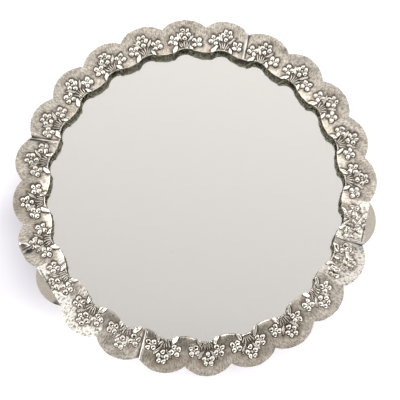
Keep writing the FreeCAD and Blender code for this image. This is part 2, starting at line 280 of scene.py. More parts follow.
@dataclass(frozen=True)
class Silver:
    """Old silver: bright where it is rubbed, warm grey on the ground, nearly black in the hollows.

    Points may carry numbers: cavity (depth in a hollow), halo (old dirt), how rubbed each is together with
    painted highlights on raised edges, stains together with painted shade and a painted shadow, a painted
    sheen that whitens the ground, and a hidden underside painted pale as if lit.
    """

    name: str
    ground: str = "#c6beb2"
    light: str = "#e2dcd2"
    dark: str = "#a0978b"
    halo: str = "#857868"
    bright: str = "#eeeae3"
    # Oxide in the hollows, also used as painted shade in creases and cuts.
    oxide_and_shade: str = "#2a231c"
    # Tarnish colour of stains, also used to paint shade into the tear's gap and a shadow on the plate's
    # flange.
    tarnish_and_shade: str = "#4c4d50"
    # Pale cream, painted on the strip's hidden underside as if light fell on it, where the glass reflects it.
    under: str = "#f2f1da"
    ground_roughness: float = 0.38
    # White of the painted sheen, a highlight painted on the ground of some lobes.
    sheen_white: str = "#f4f1ea"
    # Darker spots in that pale underside colour.
    under_spots: str = "#77775a"
    bright_roughness: float = 0.09
    cloud_mm: float = 7.0
    hatch_mm: float = 0.0
    grain_mm: float = 1.2
    relief_mm: float = 0.03

    def build(self) -> bpy.types.Material:
        """Makes the material.

        Returns:
            The finish, ready for a piece with or without its painted numbers.
        """
        material, tree, shader = new_finish(self.name)
        shader.inputs["Metallic"].default_value = 1.0
        place = add_node(tree, "ShaderNodeTexCoord")
        masks = {}
        for mask in ("cavity", "halo", "wear_and_highlight", "stain", "painted_sheen", "under"):
            masks[mask] = add_node(tree, "ShaderNodeAttribute", attribute_name=mask).outputs["Fac"]
        cloud = self._noise(tree, place.outputs["Object"], 1 / (self.cloud_mm * MM), 3.0)
        grain = self._noise(tree, place.outputs["Object"], 1 / (self.grain_mm * MM), 3.0)
        strokes = grain
        if self.hatch_mm:
            stretched = add_node(
                tree,
                "ShaderNodeMapping",
                {"Vector": place.outputs["UV"], "Scale": (1 / self.hatch_mm, 0.35 / self.hatch_mm, 1)},
            )
            strokes = self._noise(tree, stretched.outputs["Vector"], 1.0, 2.0)
        both = combined(tree, "MULTIPLY_ADD", strokes, 0.6, 0.0)
        both = combined(tree, "MULTIPLY_ADD", grain, 0.4, both)
        lift = combined(tree, "MULTIPLY_ADD", cloud, 0.2, both)
        tone = add_node(tree, "ShaderNodeValToRGB", {"Fac": ranged(tree, lift, 0.49, 0.71)})
        ramp = tone.color_ramp
        ramp.elements[0].position = 0.12
        ramp.elements[0].color = linear(self.dark)
        ramp.elements[1].position = 0.9
        ramp.elements[1].color = linear(self.light)
        ramp.elements.new(0.5).color = linear(self.ground)
        colour = tone.outputs["Color"]
        colour = mixed(tree, masks["halo"], colour, linear(self.halo))
        # The painted sheen: on some lobes the ground is painted white and less metallic, as a highlight.
        speck = ranged(tree, strokes, 0.41, 0.49)
        sheen_white = combined(tree, "MULTIPLY", masks["painted_sheen"], speck)
        colour = mixed(tree, sheen_white, colour, linear(self.sheen_white))
        # Rubbed places take the bright colour, and so do the painted highlights of raised edges.
        colour = mixed(tree, masks["wear_and_highlight"], colour, linear(self.bright))
        # Hollows take the oxide colour, which also paints shade into dark creases and cuts.
        patchy = ranged(tree, grain, 0.35, 0.6, 0.6, 1.0)
        oxide_and_shade = combined(tree, "MULTIPLY", masks["cavity"], patchy)
        # Stains take the tarnish colour, which also paints shade into the tear's gap and a shadow on the
        # plate's flange.
        colour = mixed(tree, masks["stain"], colour, linear(self.tarnish_and_shade))
        colour = mixed(tree, oxide_and_shade, colour, linear(self.oxide_and_shade))
        # The hidden underside is painted pale cream and dull, as if lit, for its reflection in the glass.
        spots = ranged(tree, grain, 0.46, 0.56)
        lit_underside_colour = mixed(tree, spots, linear(self.under), linear(self.under_spots))
        colour = mixed(tree, masks["under"], colour, lit_underside_colour)
        # Less metallic under the painted sheen and on the painted underside.
        dull = combined(tree, "MAXIMUM", sheen_white, masks["under"])
        metallic = ranged(tree, dull, 0.0, 1.0, 1.0, 0.15)
        tree.links.new(metallic, shader.inputs["Metallic"])
        tree.links.new(colour, shader.inputs["Base Color"])

        rubbed = ranged(tree, masks["wear_and_highlight"], 0.0, 1.0, self.ground_roughness, self.bright_roughness)
        rough = combined(tree, "MULTIPLY_ADD", masks["cavity"], 0.3, rubbed)
        rough = combined(tree, "MULTIPLY_ADD", masks["under"], 0.3, rough)
        tree.links.new(rough, shader.inputs["Roughness"])

        bump = add_node(
            tree,
            "ShaderNodeBump",
            {"Height": both, "Distance": self.relief_mm * MM},
        )
        calm = ranged(tree, masks["wear_and_highlight"], 0.0, 1.0, 1.0, 0.25)
        tree.links.new(calm, bump.inputs["Strength"])
        tree.links.new(bump.outputs["Normal"], shader.inputs["Normal"])
        return material

    @staticmethod
    def _noise(tree: bpy.types.NodeTree, place: object, scale: float, detail: float) -> bpy.types.NodeSocket:
        """Adds a noise and gives its grey."""
        sockets = {"Vector": place, "Scale": scale, "Detail": detail, "Roughness": 0.65}
        return add_node(tree, "ShaderNodeTexNoise", sockets).outputs["Fac"]


@dataclass(frozen=True)
class Plain:
    """A dull stuff with a grain: paper, felt, cork or limewood."""

    name: str
    light: str
    dark: str
    grain_mm: float
    stretch: tuple[float, float, float] = (1, 1, 1)
    roughness: float = 0.85
    relief_mm: float = 0.1

    def build(self) -> bpy.types.Material:
        """Makes the material."""
        material, tree, shader = new_finish(self.name)
        shader.inputs["Roughness"].default_value = self.roughness
        place = add_node(tree, "ShaderNodeTexCoord")
        scaled = add_node(
            tree, "ShaderNodeMapping", {"Vector": place.outputs["Object"], "Scale": self.stretch}
        )
        grain = add_node(
            tree,
            "ShaderNodeTexNoise",
            {"Vector": scaled.outputs["Vector"], "Scale": 1 / (self.grain_mm * MM), "Detail": 5.0},
        ).outputs["Fac"]
        colour = mixed(tree, grain, linear(self.dark), linear(self.light))
        tree.links.new(colour, shader.inputs["Base Color"])
        bump = add_node(tree, "ShaderNodeBump", {"Height": grain, "Distance": self.relief_mm * MM})
        tree.links.new(bump.outputs["Normal"], shader.inputs["Normal"])
        return material


@dataclass(frozen=True)
class Silvering:
    """Tin and mercury coat behind glass: grey, clean, with a few scattered dark specks."""

    name: str = "mirror_silvering_with_specks"
    colour: str = "#ebe5e5"
    speck: str = "#6d665a"
    speck_spacing_mm: float = 9.0

    def build(self) -> bpy.types.Material:
        """Makes the material."""
        material, tree, shader = new_finish(self.name)
        shader.inputs["Metallic"].default_value = 1.0
        shader.inputs["Roughness"].default_value = 0.015
        place = add_node(tree, "ShaderNodeTexCoord")
        cells = add_node(
            tree,
            "ShaderNodeTexVoronoi",
            {"Vector": place.outputs["Object"], "Scale": 1 / (self.speck_spacing_mm * MM)},
        )
        spots = ranged(tree, cells.outputs["Distance"], 0.03, 0.055, 0.7, 0.0)
        rare = ranged(tree, cells.outputs["Color"], 0.72, 0.74)
        share = combined(tree, "MULTIPLY", spots, rare)
        colour = mixed(tree, share, linear(self.colour), linear(self.speck))
        tree.links.new(colour, shader.inputs["Base Color"])
        return material


@dataclass(frozen=True)
class Pane:
    """Old drawn sheet glass: clear, a little green at its edge, faintly wavy."""

    name: str = "drawn_sheet_glass"
    tint: str = "#fbfdfb"
    wave_mm: float = 60.0

    def build(self) -> bpy.types.Material:
        """Makes the material."""
        material, tree, shader = new_finish(self.name)
        shader.inputs["Base Color"].default_value = linear(self.tint)
        shader.inputs["Roughness"].default_value = 0.0
        shader.inputs["IOR"].default_value = 1.52
        shader.inputs["Transmission Weight"].default_value = 1.0
        place = add_node(tree, "ShaderNodeTexCoord")
        waves = add_node(
            tree,
            "ShaderNodeTexNoise",
            {"Vector": place.outputs["Object"], "Scale": 1 / (self.wave_mm * MM), "Detail": 1.0},
        ).outputs["Fac"]
        bump = add_node(tree, "ShaderNodeBump", {"Height": waves, "Strength": 0.3, "Distance": 0.05 * MM})
        tree.links.new(bump.outputs["Normal"], shader.inputs["Normal"])
        return material


# ---------------------------------------------------------------- stamped ornament


@dataclass(frozen=True)
class Bead:
    """A round raised ball of the stamp, in millimetres."""

    across: float
    along: float
    radius: float
    height: float

    def press(self, u: Array, v: Array) -> tuple[Array, Array]:
        """Height over the ground, and distance outside the ball's foot."""
        away = np.hypot(u - self.across, v - self.along)
        inside = np.clip(1 - (away / self.radius) ** 2, 0, 1)
        return self.height * inside**0.5, away - self.radius


@dataclass(frozen=True)
class Leaf:
    """A raised leaf or rib of the stamp, from its stalk to its tip, in millimetres."""

    start: tuple[float, float]
    end: tuple[float, float]
    half_width: float
    height: float
    vein: float = 0.0
    fullness: float = 0.5

    def press(self, u: Array, v: Array) -> tuple[Array, Array]:
        """Height over the ground, and distance outside the leaf's edge."""
        along_u = self.end[0] - self.start[0]
        along_v = self.end[1] - self.start[1]
        length = math.hypot(along_u, along_v)
        share = ((u - self.start[0]) * along_u + (v - self.start[1]) * along_v) / length**2
        near = np.clip(share, 0.02, 0.98)
        away = np.hypot(u - self.start[0] - near * along_u, v - self.start[1] - near * along_v)
        width = self.half_width * np.sin(math.pi * near) ** self.fullness
        inside = np.clip(1 - (away / width) ** 2, 0, 1)
        height = self.height * inside**0.5
        height = height - self.vein * np.exp(-((away / 0.3) ** 2)) * (inside > 0)
        return height, away - width


@dataclass(frozen=True)
class Stamp:
    """A group of raised shapes pressed together."""

    shapes: tuple

    def press(self, u: Array, v: Array) -> tuple[Array, Array, Array]:
        """Height over the ground, distance outside the nearest shape, and how near a crease is."""
        height = np.zeros_like(u)
        second = np.zeros_like(u)
        gap = np.full_like(u, 50.0)
        for shape in self.shapes:
            h, g = shape.press(u, v)
            second = np.maximum(second, np.minimum(height, h))
            height = np.maximum(height, h)
            gap = np.minimum(gap, g)
        crease = np.exp(-(((height - second) / 0.22) ** 2)) * smoothstep(0.0, 0.2, second)
        return height, gap, crease


def border_stamp() -> Stamp:
    """The spray on each lobe: three flowers of beads, leaves between them, and a shell at the lip.

    Returns:
        The stamp, with across measured from the lobe's middle and along from the mirror's axis.
    """
    shapes = [
        Bead(0.0, 106.9, 1.65, 0.95),
        Bead(-2.6, 109.7, 1.65, 0.9),
        Bead(2.6, 109.7, 1.65, 0.9),
        Bead(-1.6, 112.6, 1.5, 0.85),
        Bead(1.6, 112.7, 1.5, 0.85),
        Bead(0.0, 110.1, 0.9, 0.6),
    ]
    for middle, along, lean in ((-8.5, 104.0, -0.1), (7.5, 104.7, 0.2)):
        shapes.append(Bead(middle, along, 0.8, 0.6))
        for corner in range(4):
            angle = math.radians(45 + 90 * corner) + lean
            shapes.append(Bead(middle + 2.5 * math.cos(angle), along + 2.5 * math.sin(angle), 1.7, 0.9))
    shapes.append(Leaf((-2.0, 104.2), (-6.2, 109.6), 0.95, 0.9, 0.4, 0.6))
    shapes.append(Leaf((1.8, 104.5), (5.8, 110.2), 0.95, 0.9, 0.4, 0.6))
    shapes.append(Leaf((-3.9, 101.7), (-6.0, 95.8), 1.3, 1.0, 0.45, 0.6))
    shapes.append(Leaf((4.4, 101.2), (7.7, 94.8), 1.65, 1.0, 0.5, 0.6))
    for rib in range(-2, 3):
        tip = 104.9 - 0.5 * abs(rib)
        shapes.append(Leaf((rib * 0.8, 99.2), (rib * 1.95, tip), 0.5, 0.5, 0.0, 0.35))
    return Stamp(tuple(shapes))


# ---------------------------------------------------------------- border


@dataclass(frozen=True)
class Outline:
    """The border's two scalloped edges, in millimetres."""

    lobes: int = 24
    tip: float = 120.0
    valley: float = 114.3
    lip_at_lobe: float = 98.7
    lip_at_valley: float = 95.5
    leaf_tips: tuple[tuple[float, float, float], ...] = ((7.4, 1.7, 0.9), (-6.0, 1.5, 0.5))

    @property
    def pitch(self) -> float:
        """Degrees from lobe to lobe."""
        return 360.0 / self.lobes

    def lobe_of(self, degrees: Array) -> Array:
        """Number of the nearest lobe, counted anticlockwise from the right."""
        return np.round(degrees / self.pitch).astype(int) % self.lobes

    def from_lobe(self, degrees: Array) -> Array:
        """Degrees from the nearest lobe's middle."""
        return (degrees + self.pitch / 2) % self.pitch - self.pitch / 2

    def outer(self, degrees: Array) -> Array:
        """Radius of the outer edge: one arc a lobe, valley to valley."""
        half = math.radians(self.pitch / 2)
        chord = self.valley * math.cos(half)
        sag = self.tip - chord
        bend = (sag**2 + (self.valley * math.sin(half)) ** 2) / (2 * sag)
        centre = self.tip - bend
        angle = np.radians(self.from_lobe(degrees))
        return centre * np.cos(angle) + np.sqrt(bend**2 - (centre * np.sin(angle)) ** 2)

    def chord(self, degrees: Array) -> Array:
        """Radius of the straight line from valley to valley."""
        half = math.radians(self.pitch / 2)
        return self.valley * math.cos(half) / np.cos(np.radians(self.from_lobe(degrees)))

    def inner(self, degrees: Array) -> Array:
        """Radius of the inner lip, which bulges inwards at each valley and at two leaf tips a lobe."""
        mean = (self.lip_at_lobe + self.lip_at_valley) / 2
        swing = (self.lip_at_lobe - self.lip_at_valley) / 2
        across = np.radians(self.from_lobe(degrees)) * mean
        tips = sum(size * np.exp(-(((across - place) / wide) ** 2)) for place, wide, size in self.leaf_tips)
        return mean + swing * np.cos(np.radians(degrees) * self.lobes) - tips


@dataclass(frozen=True)
class Dent:
    """A place where the border has been bent.

    It is degrees round and half_width wide. The outer edge is drawn in by pull millimetres, up to
    the chord when to_chord is set, and the sheet is raised by lift at the radius at, over reach.
    """

    degrees: float
    half_width: float
    pull: float = 0.0
    to_chord: bool = False
    lift: float = 0.0
    at: float = 112.0
    reach: float = 6.0
    crumple: float = 0.0

    def off(self, degrees: Array) -> Array:
        """How far round each point is from the middle, in half widths."""
        return ((degrees - self.degrees + 180) % 360 - 180) / self.half_width


@dataclass(frozen=True)
class Patch:
    """A place with its own colour: degrees and radius of its middle, half sizes and strength."""

    degrees: float
    radius: float
    half_across: float
    half_along: float
    strength: float

    def cover(self, x: Array, y: Array) -> Array:
        """How much of the patch lies on each point, from 0 to its strength."""
        angle = math.radians(self.degrees)
        out = x * math.cos(angle) + y * math.sin(angle) - self.radius
        side = -x * math.sin(angle) + y * math.cos(angle)
        return self.strength * np.exp(-((side / self.half_across) ** 2) - (out / self.half_along) ** 2)


@dataclass(frozen=True)
class Mark:
    """A crease, cut or raised edge between two places, each given by degrees and radius."""

    start: tuple[float, float]
    end: tuple[float, float]
    half_width: float = 0.35
    height: float = 0.0
    # How strongly the line is painted dark as shade in the oxide colour, and bright as a highlight.
    dark: float = 0.0
    bright: float = 0.0

    def cover(self, x: Array, y: Array) -> Array:
        """How much of the mark lies on each point, from 0 to 1."""
        points = []
        for degrees, radius in (self.start, self.end):
            angle = math.radians(degrees)
            points.append((radius * math.cos(angle), radius * math.sin(angle)))
        (x0, y0), (x1, y1) = points
        share = ((x - x0) * (x1 - x0) + (y - y0) * (y1 - y0)) / ((x1 - x0) ** 2 + (y1 - y0) ** 2)
        near = np.clip(share, 0, 1)
        away = np.hypot(x - x0 - near * (x1 - x0), y - y0 - near * (y1 - y0))
        return np.exp(-((away / self.half_width) ** 2))


class Side(Enum):
    """The four strips, each with the degrees of its first seam."""

    RIGHT = -22.5
    TOP = 67.5
    LEFT = 157.5
    BOTTOM = 247.5


@dataclass
class Damage:
    """What use has done to the border, told by lobe, counted anticlockwise from the right.

    Folded lobes have lost their outer part, crushed ones are crumpled and torn ones are split from the edge;
    their creases and splits are painted dark as shade and their raised edges bright as highlights. Rubbed and
    tarnished lobes, and lobes whose ground is painted white as a sheen, have a strength beside their number.
    Where the folds of a crushed lobe lie is left to chance.
    """

    outline: Outline
    folded: tuple[int, ...] = (14, 23)
    crushed: tuple[int, ...] = (22, 23)
    torn: tuple[int, ...] = (13,)
    rubbed: tuple[tuple[int, float], ...] = ((14, 0.6), (15, 0.3), (16, 0.5), (21, 0.5), (22, 0.8), (23, 0.8))
    tarnished: tuple[tuple[int, float], ...] = ((12, 0.3), (17, 0.5), (18, 0.3), (19, 0.3), (20, 0.3))
    # Lobes whose ground is painted white as a highlight, each with its strength.
    sheen_lobes: tuple[tuple[int, float], ...] = ((14, 1.0), (15, 1.0), (22, 0.6), (23, 0.6))
    folds_each: int = 7
    lip: float = 97.0
    middle: float = 106.0
    bend: float = 113.0
    rim: float = 118.5
    seed: int = 7

    def __post_init__(self) -> None:
        """Works every dent, mark and patch out from the lobes that have them."""
        self.random = np.random.default_rng(self.seed)
        self.dents: list[Dent] = []
        self.marks: list[Mark] = []
        self.stains_and_shades: list[Patch] = []
        self.crumples: list[Patch] = []
        self.painted_sheens: list[tuple[float, float, float, float, float]] = []
        pitch = self.outline.pitch
        self.cleaned = [Patch(lobe * pitch, self.middle, 13.0, 10.0, share) for lobe, share in self.rubbed]
        self.dulled = [Patch(lobe * pitch, self.bend, 14.0, 7.0, share) for lobe, share in self.tarnished]
        for side in Side:
            self._strain_seam(side.value)
        for lobe in self.folded:
            self._fold(lobe * pitch)
        for lobe in self.crushed:
            self._crush(lobe * pitch)
        for lobe in self.torn:
            self._tear(lobe * pitch)
        for lobe, share in self.sheen_lobes:
            self._paint_sheen(lobe * pitch, share)

    def _ridge(self, start: tuple[float, float], end: tuple[float, float], beside: float) -> None:
        """One fold: a crease painted dark as shade, and its raised edge painted bright as a highlight, beside
        degrees further round.
        """
        self.marks.append(Mark(start, end, 0.6, -0.35, dark=0.95))
        raised = (start[0] + beside, start[1]), (end[0] + beside, end[1])
        self.marks.append(Mark(*raised, 0.7, 0.4, bright=1.0))

    def _strain_seam(self, degrees: float) -> None:
        """The sheet is creased and stained where two strips are soldered together."""
        slant = self.random.uniform(-2.0, 0.5)
        self._ridge((degrees, self.bend + 2), (degrees + slant, self.lip), 0.7)
        self.stains_and_shades.append(Patch(degrees, self.bend, 1.5, 4.5, self.random.uniform(0.5, 1.0)))
        self.stains_and_shades.append(Patch(degrees, self.lip + 3, 1.8, 4.0, self.random.uniform(0.3, 0.6)))

    def _fold(self, degrees: float) -> None:
        """The outer part of the lobe is bent back along the line between its two valleys."""
        pitch = self.outline.pitch
        self.dents.append(Dent(degrees, pitch / 2, to_chord=True))
        for side in (-1, 1):
            end = degrees + side * 0.3 * pitch
            self.dents.append(Dent(end, 2.7, lift=1.0, at=self.bend - 2, reach=3.0, crumple=0.2))
        first = (degrees - 0.42 * pitch, self.bend)
        last = (degrees + 0.1 * pitch, self.bend)
        # The fold line is painted dark as shade, and the bent edge beyond it bright as a highlight.
        self.marks.append(Mark(first, last, 0.6, -0.4, dark=0.95))
        self.marks.append(Mark(last, (degrees + 0.4 * pitch, self.bend - 4), 0.75, 0.4, bright=1.0))

    def _crush(self, degrees: float) -> None:
        """The stamped flowers are crumpled and folds run across them."""
        pitch = self.outline.pitch
        self.crumples.append(Patch(degrees, self.middle, 10.0, 8.0, 1.0))
        near_valley, valley = degrees + 0.4 * pitch, degrees + 0.45 * pitch
        self.dents.append(Dent(near_valley, 1.6, lift=0.9, at=self.middle, reach=5.0, crumple=0.4))
        self.dents.append(Dent(valley, 3.0, lift=0.9, at=self.lip + 1, reach=3.0, crumple=0.3))
        for _ in range(self.folds_each):
            start = (degrees + self.random.uniform(-0.5, 0.45) * pitch, self.random.uniform(self.lip, 109))
            end = (start[0] + self.random.normal(0, 2.0), start[1] + self.random.uniform(3, 6))
            self._ridge(start, end, self.random.choice((-0.6, 0.6)))

    def _tear(self, degrees: float) -> None:
        """A short split from the edge: its two turned-up lips are painted bright as highlights, and the split
        and its gap dark as shade.
        """
        root = (degrees, self.bend - 1)
        self.dents.append(Dent(degrees + 1.5, 2.0, pull=1.2))
        self.dents.append(Dent(degrees - 3, 3.4, lift=0.6, at=self.rim - 2, reach=3.0))
        self.crumples.append(Patch(degrees, self.bend - 4, 8.0, 7.0, 0.6))
        for side in (-1, 1):
            # The turned-up lips are painted bright as highlights, and the split dark as shade.
            self.marks.append(Mark(root, (degrees + 1.5 * side, self.rim), 0.7, 0.4, bright=1.0))
        self.marks.append(Mark(root, (degrees + 0.5, self.rim), 0.7, -0.4, dark=1.0))
        # The gap is painted dark in the tarnish colour, as shade.
        self.stains_and_shades.append(Patch(degrees + 1.5, self.bend + 2, 1.5, 2.5, 1.6))

    def _paint_sheen(self, degrees: float, share: float) -> None:
        """The ground outside the flowers is painted white as a sheen, and half of the ground near the lip,
        less so.
        """
        half = self.outline.pitch / 2
        self.painted_sheens.append((degrees - half, degrees + half, self.middle, 121.0, share))
        self.painted_sheens.append((degrees - half, degrees, 94.0, self.middle, 0.6 * share))


@dataclass
class Border:
    """Four stamped strips of six lobes, soldered to the back plate's flange and lapped at their ends."""

    finish: bpy.types.Material
    outline: Outline = field(default_factory=Outline)
    sheet: float = 0.45
    solder: float = 0.05
    seed: int = 24
    lobes_each: int = 6
    lobe_columns: int = 100
    rows: int = 64
    lap_degrees: float = 1.0
    lap_columns: int = 7
    curl_start: float = 106.0
    curl_radius: float = 22.5
    motif_end: float = 113.6
    motif_rows_share: float = 0.82

    def __post_init__(self) -> None:
        """Takes the heights from the frame and sets out the small differences between lobes."""
        self.rim_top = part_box("back_plate")[1].z / MM
        self.face = self.rim_top + self.sheet + self.solder
        rng = np.random.default_rng(self.seed)
        self.slip = rng.normal(0, 0.3, (self.outline.lobes, 2))
        self.twist = np.radians(rng.normal(0, 2.0, self.outline.lobes))
        self.strike = rng.uniform(0.82, 1.08, self.outline.lobes)
        self.tip_change = rng.normal(0, 0.25, self.outline.lobes)
        self.tilt = rng.uniform(0.0, 0.5, self.outline.lobes)
        self.stamp = border_stamp()
        self.damage = Damage(self.outline)

    def _polar(self, side: Side, across: Array, along: Array) -> tuple[Array, Array]:
        """Degrees and radius of each grid point of one strip."""
        full_columns = self.lobes_each * self.lobe_columns
        columns = full_columns + self.lap_columns
        whole = self.lobes_each * self.outline.pitch
        turned = [0, whole, whole + self.lap_degrees]
        degrees = np.interp(across * columns, [0, full_columns, columns], turned)
        degrees = degrees + side.value
        inner = self.outline.inner(degrees)
        outer = self._outer_edge(degrees)
        knee = np.minimum(self.motif_end, outer - 0.8)
        share = along / self.motif_rows_share
        tail = (along - self.motif_rows_share) / (1 - self.motif_rows_share)
        radius = np.where(share < 1, inner + share * (knee - inner), knee + tail * (outer - knee))
        return degrees, radius

    def _outer_edge(self, degrees: Array) -> Array:
        """The strip's own outer edge: worn, uneven, and drawn in where it is bent."""
        lobe = self.outline.lobe_of(degrees)
        full = self.outline.outer(degrees)
        swell = full - self.outline.chord(degrees)
        swell = swell * (1 + self.tip_change[lobe] / 6.7)
        edge = self.outline.chord(degrees) + swell
        for dent in self.damage.dents:
            hold = np.clip(1 - dent.off(degrees) ** 2, 0, 1)
            edge = edge - dent.pull * hold - dent.to_chord * swell * hold**0.15
        return edge + 0.1 * ripple(degrees, degrees * 0, 3.1, 5) + 0.06 * ripple(degrees, degrees * 0, 0.8, 6)

    def _relief(self, degrees: Array, radius: Array) -> dict[str, Array]:
        """Heights and finish numbers of the stamped face at each point."""
        lobe = self.outline.lobe_of(degrees)
        angle = np.radians(self.outline.from_lobe(degrees))
        arc = np.radians(degrees) * MEAN_RADIUS
        u = radius * np.sin(angle) - self.slip[lobe, 0] + 0.22 * ripple(arc, radius, 4.2, 21)
        v = radius * np.cos(angle) - self.slip[lobe, 1] + 0.22 * ripple(arc, radius, 4.2, 22)
        u, v = u - self.twist[lobe] * (v - 105), v + self.twist[lobe] * u
        x, y = radius * np.cos(np.radians(degrees)), radius * np.sin(np.radians(degrees))
        crush = sum(patch.cover(x, y) for patch in self.damage.crumples)
        u = u + 0.9 * crush * ripple(arc, radius, 4.5, 61)
        v = v + 0.9 * crush * ripple(arc, radius, 4.5, 62)
        height, gap, crease = self.stamp.press(u, v)
        height = height * self.strike[lobe] * (1 - 0.35 * np.clip(crush, 0, 1))
        outside = np.clip(gap, 0, None)
        trench = 0.4 * np.exp(-((outside / 0.6) ** 2)) * (height <= 0)
        fan = np.exp(-((u / 4.4) ** 4) - ((v - 101.6) / 3.2) ** 4)
        edge = radius - self.outline.inner(degrees)
        lip = 0.2 * np.exp(-(((edge - 0.25) / 0.3) ** 2))
        lip = lip + 0.3 * np.exp(-(((edge - 0.6) / 0.35) ** 2) - (u / 3.6) ** 6)
        crown = np.clip(height / 0.9, 0, 1)
        dirt = 0.8 + 0.25 * ripple(arc, radius, 3.5, 41)
        halo = 0.6 * np.exp(-((outside / 1.8) ** 2)) + 0.15 * (1 - smoothstep(97, 105, radius))
        cavity = np.where(height > 0.02, 0.4 * (1 - crown) ** 2, dirt * np.exp(-((outside / 0.9) ** 1.5)))
        cavity = np.maximum(cavity, 0.4 * fan * (height < 0.25))
        cavity = np.maximum(cavity, 0.95 * crease)
        wear_and_highlight = np.clip(crown * 1.3 - 0.15, 0, 1)
        wear_and_highlight = np.maximum(wear_and_highlight, np.clip(lip * 2.2, 0, 1))
        return {
            "height": height - trench - 0.2 * fan * (height <= 0) - 0.25 * crease + lip,
            "cavity": np.clip(cavity - 2 * lip, 0, 1),
            "halo": np.clip(halo * (0.8 + 0.35 * ripple(arc, radius, 6.0, 43)), 0, 0.9),
            "wear_and_highlight": wear_and_highlight,
            "outside": outside,
        }

    def _painted_sheen(self, degrees: Array, radius: Array, outside: Array) -> Array:
        """Where the ground is painted white as a sheen: a few bands, clear of the stamped shapes."""
        wander = 1.2 * ripple(np.radians(degrees) * MEAN_RADIUS, radius, 9.0, 51)
        total = np.zeros_like(degrees)
        for first, last, low, high, strength in self.damage.painted_sheens:
            round_it = smoothstep(first - 0.5, first + 0.3, degrees % 360)
            round_it = round_it * (1 - smoothstep(last - 0.3, last + 0.5, degrees % 360))
            band = smoothstep(low - 1, low + 1, radius + wander)
            band = band * (1 - smoothstep(high - 1, high + 1, radius + wander))
            total = np.maximum(total, strength * round_it * band)
        return total * smoothstep(0.7, 1.5, outside)

    def _lift(self, degrees: Array, radius: Array) -> Array:
        """How far bends, creases and the lap raise the sheet at each point."""
        lobe = self.outline.lobe_of(degrees)
        arc = np.radians(degrees) * MEAN_RADIUS
        total = 0.09 * ripple(arc, radius, 7.0, 11) + 0.12 * ripple(arc, radius, 19.0, 12)
        total = total + self.tilt[lobe] * smoothstep(108, 120, radius)
        for dent in self.damage.dents:
            round_it = np.clip(1 - dent.off(degrees) ** 2, 0, 1)
            bulge = round_it * np.exp(-(((radius - dent.at) / dent.reach) ** 2))
            creases = 1 + dent.crumple * ripple(arc, radius, 5.0, int(dent.degrees))
            total = total + dent.lift * bulge * creases
        return total

    def build_strip(self, side: Side) -> bpy.types.Object:
        """Models one strip.

        Args:
            side: which of the four strips.

        Returns:
            The finished strip.
        """
        columns = self.lobes_each * self.lobe_columns + self.lap_columns
        seam_start = side.value
        seam_end = side.value + self.lobes_each * self.outline.pitch
        kept: dict[str, Array] = {}

        def surface(across: Array, along: Array) -> Array:
            """Points of the strip's face."""
            degrees, radius = self._polar(side, across, along)
            relief = self._relief(degrees, radius)
            curl = np.clip(self.curl_start - radius, 0, None)
            rise = self.curl_radius - np.sqrt(self.curl_radius**2 - curl**2)
            lap = (self.sheet + 0.1) * smoothstep(seam_end - 2.2, seam_end - 0.4, degrees)
            z = self.face + rise + relief["height"] + self._lift(degrees, radius) + lap
            angle = np.radians(degrees)
            x, y = radius * np.cos(angle), radius * np.sin(angle)
            # Stains at the seams, and the shade painted into the tear's gap.
            stain = sum(patch.cover(x, y) for patch in self.damage.stains_and_shades)
            near_seam = np.exp(-(((degrees - seam_start) / 0.5) ** 2))
            rubbed = sum(patch.cover(x, y) for patch in self.damage.cleaned)
            relief["cavity"] = relief["cavity"] * np.clip(1 - rubbed, 0, 1)
            dull = sum(patch.cover(x, y) for patch in self.damage.dulled) * (relief["wear_and_highlight"] < 0.3)
            relief["halo"] = np.clip(relief["halo"] * np.clip(1 - rubbed, 0, 1) + dull, 0, 0.9)
            # Marks raise or sink the sheet; their dark lines are painted shade and their bright lines painted
            # highlights.
            for mark in self.damage.marks:
                share = mark.cover(x, y)
                z = z + mark.height * share
                relief["cavity"] = np.maximum(relief["cavity"] * (1 - mark.bright * share), mark.dark * share)
                relief["wear_and_highlight"] = np.maximum(relief["wear_and_highlight"] * (1 - mark.dark * share), mark.bright * share)
            z = np.where(radius > self.curl_start, np.maximum(z, self.rim_top + 0.1), z)
            kept.update(relief)
            kept["stain"] = np.clip(stain + 0.5 * near_seam, 0, 1)
            # The painted sheen: a highlight painted white on the ground of some lobes.
            kept["painted_sheen"] = self._painted_sheen(degrees, radius, kept["outside"])
            kept["halo"] = kept["halo"] * (1 - 0.6 * kept["painted_sheen"])
            kept["across"] = angle * MEAN_RADIUS
            kept["along"] = radius
            return np.stack([x, y, z], axis=1)

        name = f"stamped_border_{side.name.lower()}"
        strip = laid_grid(name, columns, self.rows, surface)
        lay_pattern(strip, kept["across"], kept["along"])
        for mask in ("cavity", "halo", "wear_and_highlight", "stain", "painted_sheen"):
            paint(strip, mask, kept[mask])
        thicken_down(strip, self.sheet)
        heights = np.empty(len(strip.data.vertices) * 3)
        strip.data.vertices.foreach_get("co", heights)
        halves = heights[2::3].reshape(2, -1)
        # Marks the underside, which the finish paints pale as if lit.
        paint(strip, "under", (halves < halves.mean(axis=0)).astype(float).ravel())
        smooth(strip, 60)
        dress(strip, self.finish)
        return settle(strip, "mirror", "border_silver", f"border_strip_{side.name.lower()}")


# ---------------------------------------------------------------- back plate


